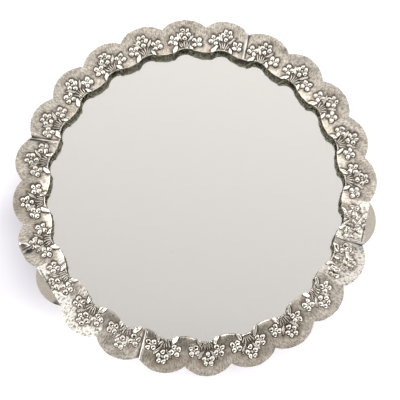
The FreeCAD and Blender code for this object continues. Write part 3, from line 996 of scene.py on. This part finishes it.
@dataclass
class BackPlate:
    """Raised silver dish: a flat field, a chased garland, a fluted corner and the lobed flange."""

    finish: bpy.types.Material
    outline: Outline = field(default_factory=Outline)
    columns: int = 960
    rows: int = 80
    sheet: float = 0.6
    wall: float = 107.9
    corner: float = 8.5
    garland: tuple[float, float] = (78.5, 95.8)
    flute: float = 0.8
    ring_feet: tuple[float, ...] = (16.4, 18.2, 20.5, 73.7, 77.3, 96.0, 98.7)
    # Lobe and radius of a shadow painted on the flange beside the border's edge.
    shadow_lobe: float = 14.4
    shadow_radius: float = 117.0

    def __post_init__(self) -> None:
        """Takes the heights from the frame and lays out the garland."""
        low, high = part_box("back_plate")
        self.field_z = low.z / MM
        self.rim_top = high.z / MM
        middle = sum(self.garland) / 2
        shapes = [Bead(0, middle, 1.5, 1.0)]
        for petal in range(6):
            angle = math.radians(60 * petal + 30)
            shapes.append(Bead(3.0 * math.cos(angle), middle + 3.0 * math.sin(angle), 1.5, 0.9))
        for side in (-1, 1):
            shapes.append(Leaf((side * 4.3, middle - 1.5), (side * 9.4, middle - 6.6), 1.5, 0.8, 0.3, 0.7))
            shapes.append(Leaf((side * 4.3, middle + 1.5), (side * 9.6, middle + 6.6), 1.5, 0.8, 0.3, 0.7))
            shapes.append(Leaf((side * 5.2, middle), (side * 10.2, middle), 1.1, 0.8, 0.3, 0.7))
            shapes.append(Leaf((side * 1.2, middle - 4.6), (side * 4.8, middle - 7.6), 0.9, 0.6, 0.2, 0.6))
            shapes.append(Leaf((side * 1.2, middle + 4.6), (side * 4.8, middle + 7.6), 0.9, 0.6, 0.2, 0.6))
        self.stamp = Stamp(tuple(shapes))

    def _profile(self, along: Array, offset: float) -> tuple[Array, Array, Array]:
        """Section of the plate: radius, height and share of the way over the flange."""
        bend = self.corner - offset
        centre = self.wall - self.corner
        arc_length = bend * math.pi / 2
        knots = [0.0, 15.5, 21.0, 72.8, 78.2, 97.0, centre]
        wall_length = self.rim_top - self.sheet - self.field_z - self.corner
        shares = [0, 0.02, 0.12, 0.14, 0.22, 0.70, 0.74, 0.86, 0.90]
        lengths = knots + [centre + arc_length, centre + arc_length + wall_length]
        run = np.interp(along, shares, lengths)
        turn = np.clip((run - centre) / bend, 0, math.pi / 2)
        radius = np.minimum(run, centre) + bend * np.sin(turn)
        height = self.field_z + offset + bend * (1 - np.cos(turn))
        height = height + np.clip(run - centre - arc_length, 0, None)
        over = np.clip((along - shares[-1]) / (1 - shares[-1]), 0, 1)
        return radius, height, over

    def _painted_shadow(self, x: Array, y: Array, z: Array) -> Array:
        """A shadow painted dark on the flange beside the border's edge, at one lobe."""
        shadow_spot = Patch(self.shadow_lobe * self.outline.pitch, self.shadow_radius, 2.0, 1.6, 2.0)
        return np.clip(shadow_spot.cover(x, y) * (z > self.rim_top - 2), 0, 1)

    def build(self) -> bpy.types.Object:
        """Models the plate's outer and inner faces and joins them at the rim."""
        kept: dict[str, Array] = {}

        def outside(across: Array, along: Array) -> Array:
            """Points of the chased underside."""
            degrees = across * 360
            radius, z, over = self._profile(along, 0.0)
            angle = np.radians(degrees)
            from_lobe = np.radians(self.outline.from_lobe(degrees))
            u, v = from_lobe * radius, radius
            height, gap, crease = self.stamp.press(u, v)
            band = smoothstep(77.0, 78.5, radius) * (1 - smoothstep(95.5, 96.5, radius))
            height = height * band
            outer_gap = np.clip(gap, 0, None)
            trench = 0.3 * np.exp(-((outer_gap / 0.8) ** 2)) * (height <= 0) * band
            turn = np.clip((z - self.field_z) / self.corner, 0, 1)
            wave = np.abs(np.cos(self.outline.lobes / 2 * angle))
            flutes = self.flute * (wave**0.5 - 0.2) * smoothstep(98, 101, radius)
            flutes = flutes * (1 - smoothstep(13.5, 15.2, z))
            planish = 0.05 * ripple(radius * np.cos(angle), radius * np.sin(angle), 6.0, 31)
            push = height - trench + planish
            z = z - push * (1 - turn) - flutes * (1 - turn) * 0.6
            radius = radius + flutes * turn
            reach = self.outline.outer(degrees) - 0.15
            radius = np.where(over > 0, self.wall + over * (reach - self.wall), radius)
            crown = np.clip(height / 0.9, 0, 1)
            ridge = 0.6 * turn * (wave > 0.5) * (over <= 0)
            kept["wear_and_highlight"] = np.clip(crown + ridge, 0, 1)
            groove = np.exp(-((wave / 0.25) ** 2)) * smoothstep(98, 101, radius)
            cavity = 0.85 * np.exp(-((outer_gap / 1.3) ** 1.5)) * band * (height <= 0.02)
            settled = sum(np.exp(-(((radius - ring) / 0.75) ** 2)) for ring in self.ring_feet)
            cavity = np.maximum(cavity, 0.75 * settled * (turn < 0.3))
            kept["cavity"] = np.clip(cavity + 0.6 * crease * band + 0.8 * groove * (over <= 0), 0, 1)
            x, y = radius * np.cos(angle), radius * np.sin(angle)
            # The flange is darkened at one place as a painted shadow.
            kept["stain"] = self._painted_shadow(x, y, z)
            kept["across"] = angle * 90
            kept["along"] = radius
            return np.stack([x, y, z], axis=1)

        def inside(across: Array, along: Array) -> Array:
            """Points of the plain inner face."""
            angle = np.radians(across * 360)
            radius, z, over = self._profile(along, self.sheet)
            reach = self.outline.outer(across * 360) - 0.15
            wall = self.wall - self.sheet
            radius = np.where(over > 0, wall + over * (reach - wall), radius)
            z = np.where(over > 0, self.rim_top, z)
            x, y = radius * np.cos(angle), radius * np.sin(angle)
            kept["lining_stain"] = self._painted_shadow(x, y, z)
            return np.stack([x, y, z], axis=1)

        plate = laid_grid("chased_back_plate", self.columns, self.rows, outside)
        lay_pattern(plate, kept["across"], kept["along"])
        for mask in ("cavity", "wear_and_highlight", "stain"):
            paint(plate, mask, kept[mask])
        close_seams(plate)
        lining = laid_grid("plate_lining", self.columns // 2, self.rows // 4, inside)
        # The lining's top shows over the flange, so it carries the same painted shadow.
        paint(lining, "stain", kept["lining_stain"])
        unused = np.zeros(len(lining.data.vertices))
        lay_pattern(lining, unused, unused)
        close_seams(lining)
        choose(lining, plate)
        bpy.ops.object.join()
        bpy.ops.object.mode_set(mode="EDIT")
        bpy.ops.mesh.select_mode(type="EDGE")
        bpy.ops.mesh.select_all(action="DESELECT")
        bpy.ops.mesh.select_non_manifold(extend=False)
        bpy.ops.mesh.bridge_edge_loops()
        bpy.ops.mesh.select_all(action="SELECT")
        bpy.ops.mesh.normals_make_consistent(inside=False)
        bpy.ops.object.mode_set(mode="OBJECT")
        smooth(plate, 50)
        dress(plate, self.finish)
        return settle(plate, "mirror", "plate_silver", "back_plate")


# ---------------------------------------------------------------- fittings of the back


def closed_sweep(name: str, columns: int, rows: int, surface: Surface) -> bpy.types.Object:
    """Lays a grid whose sides meet each other, and merges them.

    Args:
        name: the piece's name.
        columns: divisions along the sweep.
        rows: divisions round the section.
        surface: gives points in millimetres from two arrays that run from 0 to 1.

    Returns:
        The closed, smooth-shaded piece.
    """
    piece = laid_grid(name, columns, rows, surface)
    close_seams(piece)
    smooth(piece, 50)
    return piece


@dataclass
class BackRings:
    """Beaded wire round the garland, twisted wire round the rosette."""

    finish: bpy.types.Material
    beads: int = 280
    strands: int = 3
    twists: int = 66
    bead_columns: int = 6
    twist_columns: int = 20

    def _ring(self, node: str) -> tuple[float, float, float]:
        """Radius of a ring's middle, its height, and the level it is soldered to."""
        low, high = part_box(node)
        height = (high.z - low.z) / MM
        return high.x / MM - height, height, high.z / MM

    def build_beaded(self) -> bpy.types.Object:
        """Models the outer ring: half beads, touching."""
        radius, height, level = self._ring("outer_bead_ring")

        def surface(across: Array, along: Array) -> Array:
            """Points of the beaded wire."""
            turn = 2 * math.pi * along
            off = 2 * ((across * self.beads) % 1.0) - 1
            swell = height * (0.55 + 0.45 * np.sqrt(np.clip(1 - off**2, 0, 1)))
            out = radius + swell * np.cos(turn)
            z = level + 0.05 - swell * np.clip(np.sin(turn), -0.05, 1)
            angle = 2 * math.pi * across
            return np.stack([out * np.cos(angle), out * np.sin(angle), z], axis=1)

        ring = closed_sweep("beaded_wire_ring", self.beads * self.bead_columns, 12, surface)
        dress(ring, self.finish)
        return settle(ring, "mirror", "wire_silver", "outer_bead_ring")

    def build_twisted(self) -> bpy.types.Object:
        """Models the inner ring: three wires twisted together."""
        radius, height, level = self._ring("rosette_ring")
        half = height / 2

        def surface(across: Array, along: Array) -> Array:
            """Points of the twisted wire."""
            turn = 2 * math.pi * along
            angle = 2 * math.pi * across
            strand = np.abs(np.cos(0.5 * (self.strands * turn + self.twists * angle)))
            swell = half * (0.72 + 0.28 * strand)
            out = radius + swell * np.cos(turn)
            z = level + 0.05 - half + swell * np.sin(turn)
            return np.stack([out * np.cos(angle), out * np.sin(angle), z], axis=1)

        ring = closed_sweep("twisted_wire_ring", self.twists * self.twist_columns, 18, surface)
        dress(ring, self.finish)
        return settle(ring, "mirror", "wire_silver", "rosette_ring")


@dataclass
class Rosette:
    """Pressed flower at the middle of the back: ten veined petals round a stippled boss."""

    finish: bpy.types.Material
    petals: int = 10
    seeds: int = 8
    boss: float = 4.4
    disc: float = 0.3
    columns: int = 360
    rows: int = 72

    def __post_init__(self) -> None:
        """Takes the size from the frame and lays out the petals."""
        low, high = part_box("back_rosette")
        self.radius = high.x / MM
        self.level = high.z / MM
        self.relief = (high.z - low.z) / MM - self.disc
        self.shapes = [Bead(0, 0, self.boss, self.relief)]
        for petal in range(self.petals):
            angle = 2 * math.pi * petal / self.petals
            way = (math.cos(angle), math.sin(angle))
            start, end = 3.4, self.radius - 0.5
            points = ((start * way[0], start * way[1]), (end * way[0], end * way[1]))
            self.shapes.append(Leaf(points[0], points[1], 2.5, self.relief, 0.25, 0.55))
        for seed in range(self.seeds):
            angle = 2 * math.pi * seed / self.seeds
            self.shapes.append(Bead(2.6 * math.cos(angle), 2.6 * math.sin(angle), 0.75, self.relief * 1.1))

    def build(self) -> bpy.types.Object:
        """Models the flower as a pressed sheet on a thin disc."""
        stamp = Stamp(tuple(self.shapes))
        kept: dict[str, Array] = {}

        def surface(across: Array, along: Array) -> Array:
            """Points of the pressed face."""
            angle = 2 * math.pi * across
            radius = self.radius * along
            x, y = radius * np.cos(angle), radius * np.sin(angle)
            height, gap, crease = stamp.press(x, y)
            height = height - 0.2 * crease
            kept["wear_and_highlight"] = np.clip(height / self.relief, 0, 1) ** 2
            edge = np.exp(-((np.clip(gap, 0, None) / 0.5) ** 2)) * (height <= 0)
            kept["cavity"] = np.clip(edge + 0.7 * crease, 0, 1)
            kept["across"], kept["along"] = angle * 10, radius
            return np.stack([x, y, self.level - self.disc - np.clip(height, 0, self.relief)], axis=1)

        flower = laid_grid("pressed_rosette", self.columns, self.rows, surface)
        lay_pattern(flower, kept["across"], kept["along"])
        for mask in ("wear_and_highlight", "cavity"):
            paint(flower, mask, kept[mask])
        thicken_down(flower, -self.disc)
        close_seams(flower)
        smooth(flower, 50)
        dress(flower, self.finish)
        return settle(flower, "mirror", "plate_silver", "back_rosette")


@dataclass
class Bail:
    """D-shaped swing handle: round legs, turned collars, and a grip chased with a twist."""

    finish: bpy.types.Material
    leg: float = 1.6
    grip: float = 2.3
    corner: float = 12.0
    leg_x: float = 30.4
    pin: float = 1.25
    shoulder: float = 1.9
    shoulder_x: float = 32.7
    collar: float = 2.25
    collar_half: float = 0.9
    twist: float = 0.1
    columns: int = 420
    rows: int = 24

    def __post_init__(self) -> None:
        """Takes the hinge's place and the reach from the frame."""
        low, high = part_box("bail_handle")
        self.pin_end = high.x / MM
        self.hinge_y = high.y / MM - max(self.leg, self.shoulder)
        self.level = (low.z + high.z) / 2 / MM
        self.reach = self.hinge_y - (low.y / MM + self.grip)

    def _tube(self, across: Array, along: Array) -> Array:
        """Points of the legs, corners and grip, swept from one hinge to the other."""
        straight = self.reach - self.corner
        quarter = math.pi / 2 * self.corner
        half = self.leg_x - self.corner
        total = 2 * (straight + quarter + half)
        run = -self.leg + across * (total + 2 * self.leg)
        side = np.where(run < total / 2, -1.0, 1.0)
        run = np.minimum(run, total - run)
        bend = np.clip((run - straight) / self.corner, 0, math.pi / 2)
        flat = np.clip(run - straight - quarter, 0, None)
        x = self.leg_x - self.corner + self.corner * np.cos(bend) - flat
        y = self.hinge_y - np.minimum(run, straight) - self.corner * np.sin(bend)
        wide = np.sqrt(np.clip(self.leg**2 - np.clip(-run, 0, None) ** 2, 0, None))
        on_grip = np.clip(flat / half, 0, 1)
        wide = wide + (self.grip - self.leg) * (1 - (1 - on_grip) ** 2)
        turn = 2 * math.pi * along
        wide = wide + self.twist * np.cos(5 * turn + 1.3 * side * x) * smoothstep(0.1, 0.25, on_grip)
        ring = np.exp(-(((run - straight - quarter - 0.8) / self.collar_half) ** 4))
        wide = np.maximum(wide, self.collar * ring)
        wide = np.minimum(wide, self.grip)
        out_x, out_y = np.cos(bend), -np.sin(bend)
        return np.stack(
            [
                side * (x + wide * np.cos(turn) * out_x),
                y + wide * np.cos(turn) * out_y,
                self.level + wide * np.sin(turn),
            ],
            axis=1,
        )

    def _pin(self, side: int) -> bpy.types.Object:
        """Models one pin and its shoulder, turned about the hinge's axis."""
        inner, outer = self.leg_x, self.shoulder_x
        places = [inner, inner, outer - 0.2, outer, outer, self.pin_end, self.pin_end]
        widths = [0.0, self.shoulder, self.shoulder, self.shoulder - 0.2, self.pin, self.pin, 0.0]
        knots = [0.0, 0.2, 0.4, 0.45, 0.5, 0.9, 1.0]

        def surface(across: Array, along: Array) -> Array:
            """Points of the turned pin."""
            x, wide = np.interp(across, knots, places), np.interp(across, knots, widths)
            turn = 2 * math.pi * along
            y, z = self.hinge_y + wide * np.cos(turn), self.level + wide * np.sin(turn)
            return np.stack([side * x, y, z], axis=1)

        return closed_sweep(f"pin_{side}", 20, 32, surface)

    def build(self) -> bpy.types.Object:
        """Models the handle and joins its pins to it."""
        handle = closed_sweep("forged_bail", self.columns, self.rows, self._tube)
        pins = [self._pin(side) for side in (-1, 1)]
        choose(*pins, handle)
        bpy.ops.object.join()
        dress(handle, self.finish)
        return settle(handle, "bail", "bail_silver", "bail_handle")


# ---------------------------------------------------------------- glass


@dataclass
class Glass:
    """Round pane with a ground edge, a hair clear of its silvering."""

    finish: bpy.types.Material
    facets: int = 240
    arris: float = 0.35
    film: float = 0.02

    def build(self) -> bpy.types.Object:
        """Models the pane."""
        low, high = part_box("glass_pane")
        bottom = low.z + self.film * MM
        deselect()
        bpy.ops.mesh.primitive_cylinder_add(
            vertices=self.facets, radius=(high.x - low.x) / 2, depth=high.z - bottom
        )
        pane = bpy.context.object
        pane.name = pane.data.name = "ground_edge_pane"
        pane.data.transform(Matrix.Translation((0, 0, (high.z + bottom) / 2)))
        bevel = pane.modifiers.new("arris", "BEVEL")
        bevel.width = self.arris * MM
        bevel.segments = 2
        bevel.limit_method = "ANGLE"
        choose(pane)
        bpy.ops.object.modifier_apply(modifier="arris")
        smooth(pane, 15)
        dress(pane, self.finish)
        return settle(pane, "mirror", "clear_glass", "glass_pane")


# ---------------------------------------------------------------- studio


@dataclass
class Studio:
    """Pale floor, soft light tent, three soft boxes and the camera. Places are in metres."""

    target: Vector = field(default_factory=lambda: Vector((2.5, -6.2, 16.15)) * MM)
    distance: float = 0.693
    elevation: float = 77.4
    azimuth: float = -6.5
    roll: float = 2.55
    focal_widths: float = 2.643
    sensor: float = 36.0
    opening_tilt: float = 33.0
    opening_inner: float = 20.0
    opening_outer: float = 40.0
    low_glow: float = 0.45
    tent_way: tuple[float, float, float] = (0.25, 1.0, 0.0)
    tent_levels: tuple[float, float] = (0.72, 1.12)
    tent_colour: str = "#fffdfb"
    floor_size: float = 6.0
    floor_drop: float = 0.0003
    paper: str = "#f4f4f6"
    # Colour, middle and reach of the shadow painted on the floor at the left.
    painted_shadow_paper: str = "#e7e6ec"
    glow_colour: str = "#efedfc"
    painted_shadow_middle: tuple[float, float, float] = (-0.120, -0.030, 0.0)
    painted_shadow_reach: tuple[float, float] = (0.02, 0.07)
    floor_glow: tuple[float, float] = (0.08, 0.36)

    def build_camera(self) -> None:
        """Aims the camera down at the mirror, from in front."""
        a, e = math.radians(self.azimuth), math.radians(self.elevation)
        back = Vector((math.sin(a) * math.cos(e), -math.cos(a) * math.cos(e), math.sin(e)))
        right = Vector((math.cos(a), math.sin(a), 0))
        up = back.cross(right)
        r = math.radians(self.roll)
        turned_right = math.cos(r) * right + math.sin(r) * up
        turned_up = -math.sin(r) * right + math.cos(r) * up
        data = bpy.data.cameras.new("camera")
        data.sensor_width = self.sensor
        data.lens = self.focal_widths * self.sensor
        data.clip_start = 0.01
        camera = bpy.data.objects.new("camera", data)
        bpy.context.scene.collection.objects.link(camera)
        rotation = Matrix((turned_right, turned_up, back)).transposed()
        camera.matrix_world = Matrix.Translation(self.target + back * self.distance) @ rotation.to_4x4()
        bpy.context.scene.camera = camera

    def build_floor(self) -> None:
        """Adds the floor, just under the foot ring: it glows a little, and a shadow is painted at the left
        with darker paper and less glow.
        """
        deselect()
        bpy.ops.mesh.primitive_plane_add(size=self.floor_size, location=(0, 0, -self.floor_drop))
        floor = bpy.context.object
        floor.name = "floor"
        material, tree, shader = new_finish("white_paper_floor_with_painted_shadow")
        shader.inputs["Roughness"].default_value = 0.9
        shader.inputs["Specular IOR Level"].default_value = 0.1
        shader.inputs["Emission Color"].default_value = linear(self.glow_colour)
        place = add_node(tree, "ShaderNodeTexCoord").outputs["Object"]
        # The painted shadow: darker paper and less glow near its middle.
        away = compared(tree, "DISTANCE", place, self.painted_shadow_middle)
        open_floor = ranged(tree, away, *self.painted_shadow_reach, interpolation_type="SMOOTHSTEP")
        paper = mixed(tree, open_floor, linear(self.painted_shadow_paper), linear(self.paper))
        glow = ranged(tree, open_floor, 0.0, 1.0, *self.floor_glow)
        tree.links.new(paper, shader.inputs["Base Color"])
        tree.links.new(glow, shader.inputs["Emission Strength"])
        dress(floor, material)

    def build_tent(self) -> None:
        """Lights the world like a tent: brighter behind and low down, with a dark opening in front."""
        world = bpy.data.worlds.new("tent")
        bpy.context.scene.world = world
        world.use_nodes = True
        tree = world.node_tree
        background = tree.nodes["Background"]
        way = add_node(tree, "ShaderNodeTexCoord").outputs["Generated"]
        slope = compared(tree, "DOT_PRODUCT", way, self.tent_way)
        level = ranged(tree, slope, 0.0, 0.42, *self.tent_levels)
        height = add_node(tree, "ShaderNodeSeparateXYZ", {"Vector": way}).outputs["Z"]
        low = ranged(tree, height, 0.35, 0.85, self.low_glow, 0.0, interpolation_type="SMOOTHSTEP")
        level = combined(tree, "ADD", level, low)
        tilt = math.radians(self.opening_tilt)
        facing = compared(tree, "DOT_PRODUCT", way, (-0.06, -math.sin(tilt), math.cos(tilt)))
        outer = math.cos(math.radians(self.opening_outer))
        inner = math.cos(math.radians(self.opening_inner))
        clear = ranged(tree, facing, outer, inner, 1.0, 0.03, interpolation_type="SMOOTHSTEP")
        strength = combined(tree, "MULTIPLY", level, clear)
        background.inputs["Color"].default_value = linear(self.tent_colour)
        tree.links.new(strength, background.inputs["Strength"])

    def build_lamps(self) -> None:
        """Adds the soft boxes: a key from the right rear, a fill from the left and one in front."""
        lamps = (
            ("key", (1.0, 0.6, 0.75), 1.4, 4.5),
            ("fill", (-1.0, 0.1, 0.6), 0.6, 4.0),
            ("front", (0.3, -1.2, 0.5), 0.9, 8.0),
        )
        for name, place, size, power in lamps:
            data = bpy.data.lights.new(name, "AREA")
            data.size = size
            data.energy = power
            lamp = bpy.data.objects.new(name, data)
            bpy.context.scene.collection.objects.link(lamp)
            lamp.location = place
            lamp.rotation_euler = (-Vector(place)).to_track_quat("-Z", "Y").to_euler()

    def build(self) -> None:
        """Sets up the whole studio."""
        bpy.context.scene.view_settings.view_transform = "Standard"
        self.build_camera()
        self.build_floor()
        self.build_tent()
        self.build_lamps()


def main() -> None:
    """Builds every piece in order."""
    logging.basicConfig(level=logging.INFO, format="%(name)s %(message)s")
    Studio().build()
    border_silver = Silver("stamped_silver", hatch_mm=0.8, grain_mm=1.0).build()
    plate_silver = Silver(
        "chased_silver", light="#cfc8bd", dark="#bbb3a7", grain_mm=0.7, relief_mm=0.012
    ).build()
    border = Border(border_silver)
    for side in Side:
        border.build_strip(side)
    BackPlate(plate_silver).build()
    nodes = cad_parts
    wire = Silver(
        "drawn_silver_wire",
        ground="#d3cec5",
        light="#dcd8d0",
        dark="#c4bdb2",
        ground_roughness=0.22,
        grain_mm=0.8,
        relief_mm=0.008,
    ).build()
    for name in ("seam_straps", "glass_clips"):
        dress(nodes[name], plate_silver)
    for name in (
        "foot_ring", "bail_lug_left", "bail_lug_right", "lug_rivets", "rivet_burrs", "bail_end_balls",
    ):
        dress(nodes[name], wire)
    rings = BackRings(wire)
    rings.build_beaded()
    rings.build_twisted()
    Rosette(plate_silver).build()
    Bail(wire).build()
    dress(nodes["silvering"], Silvering().build())
    Glass(Pane().build()).build()
    dress(nodes["backing_paper"], Plain("brown_kraft_paper", "#7c6348", "#5d4630", 1.5).build())
    dress(nodes["packing_felt"], Plain("grey_wool_felt", "#6e6a66", "#4a4744", 0.8).build())
    dress(nodes["backing_board"], Plain("sawn_limewood", "#c9a878", "#9a7546", 8.0, (1, 0.06, 1)).build())
    dress(nodes["edge_wedges"], Plain("cut_cork", "#b98d5e", "#7d5734", 1.5).build())


if __name__ == "__main__":
    main()
